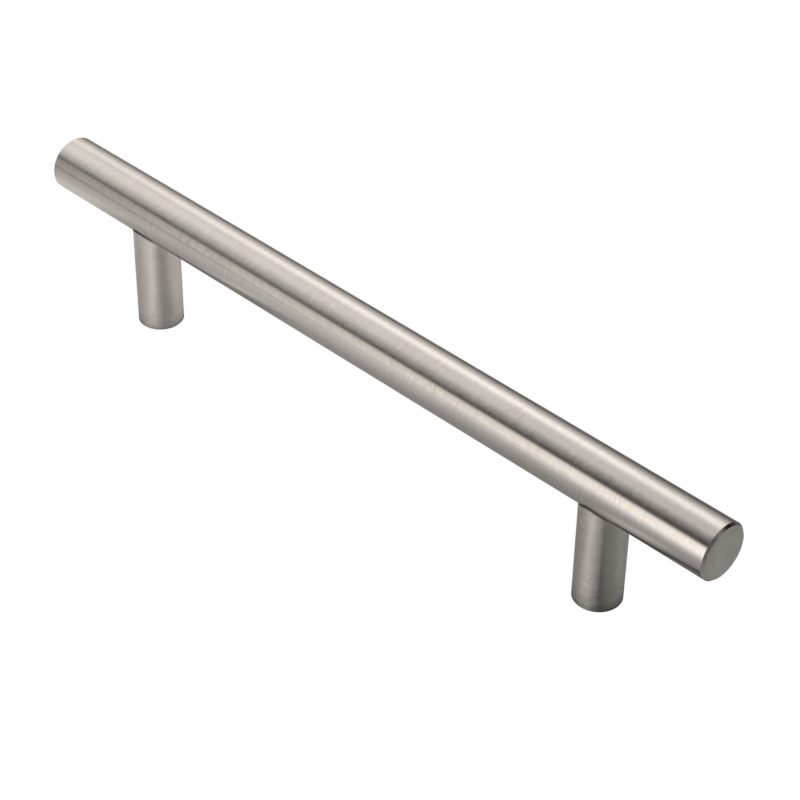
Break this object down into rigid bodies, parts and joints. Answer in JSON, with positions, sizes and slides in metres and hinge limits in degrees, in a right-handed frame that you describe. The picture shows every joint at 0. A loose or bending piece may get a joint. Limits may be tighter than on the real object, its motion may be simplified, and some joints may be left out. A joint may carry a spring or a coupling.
{
  "type": "t-bar pull handle",
  "caption": "Round bar pull handle on two round posts, with a tapped hole in each foot for a screw through the door or drawer front.",
  "frame": {"origin": "on the door's face, midway between the two posts", "axes": "+X along the bar, +Y across it, +Z away from the door"},
  "size_m": [0.183, 0.012, 0.034],
  "materials": {
    "satin_steel": "satin, brushed round the bar and the posts; end faces turned",
    "screw_steel": "black oxide"
  },
  "bodies": {
    "root": {"bar": "satin_steel", "left_post": "satin_steel", "right_post": "satin_steel", "left_stud": "screw_steel", "right_stud": "screw_steel"}
  },
  "joints": []
}
